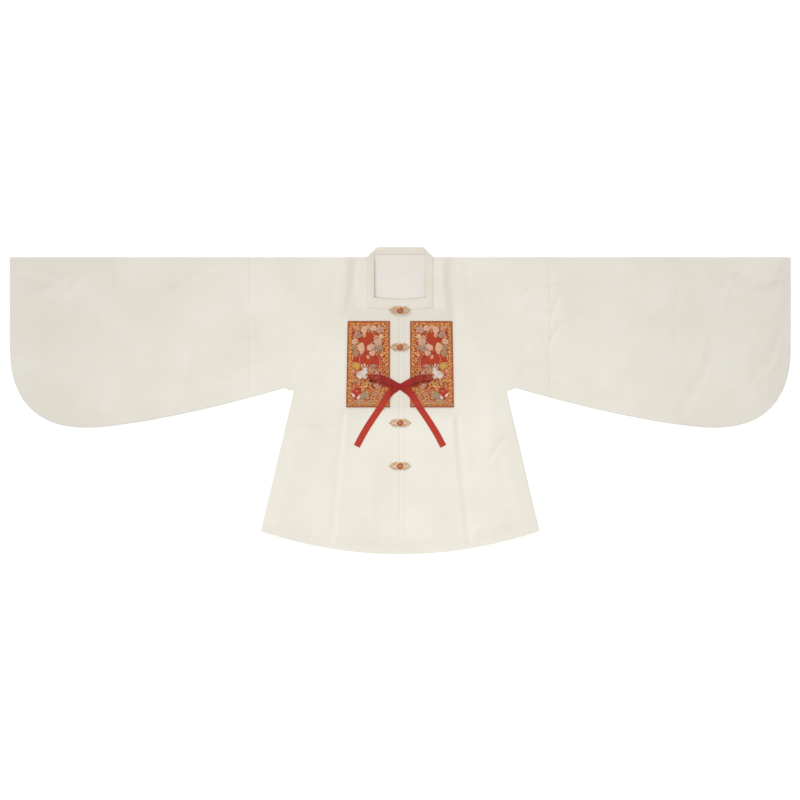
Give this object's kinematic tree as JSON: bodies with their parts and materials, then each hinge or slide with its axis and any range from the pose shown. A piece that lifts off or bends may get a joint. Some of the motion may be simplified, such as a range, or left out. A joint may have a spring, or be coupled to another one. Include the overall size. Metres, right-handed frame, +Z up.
{
  "type": "hanfu jacket",
  "caption": "Wide-sleeved hanfu jacket laid flat, with a square collar, embroidered chest panels, a tied ribbon and bead clasps down the front opening.",
  "frame": {"origin": "centre of the underside of the bounding box, on the surface the jacket lies on", "axes": "+X to the right of the jacket as it lies face up, +Y towards the collar, +Z up"},
  "size_m": [1.8, 0.709, 0.014],
  "materials": {
    "cloth": "ivory plain weave, soft sheen",
    "collar": "ivory plain band, topstitched",
    "embroidery": "satin-stitch embroidery on red ground",
    "ribbon": "red satin ribbon",
    "gilt": "pale gilt filigree",
    "bead": "polished red bead"
  },
  "bodies": {
    "root": {"body_left": "cloth", "sleeve_left": "cloth", "collar_side_left": "collar", "collar_front_left": "collar", "panel_left": "embroidery", "ribbon_loop_left": "ribbon", "ribbon_tail_left": "ribbon", "body_right": "cloth", "sleeve_right": "cloth", "collar_side_right": "collar", "collar_front_right": "collar", "panel_right": "embroidery", "ribbon_loop_right": "ribbon", "ribbon_tail_right": "ribbon", "collar_back": "collar", "ribbon_knot": "ribbon", "clasp_1_left": "gilt", "clasp_1_right": "gilt", "clasp_1_bead": "bead", "clasp_2_left": "gilt", "clasp_2_right": "gilt", "clasp_2_bead": "bead", "clasp_3_left": "gilt", "clasp_3_right": "gilt", "clasp_3_bead": "bead", "clasp_4_left": "gilt", "clasp_4_right": "gilt", "clasp_4_bead": "bead"}
  },
  "joints": []
}
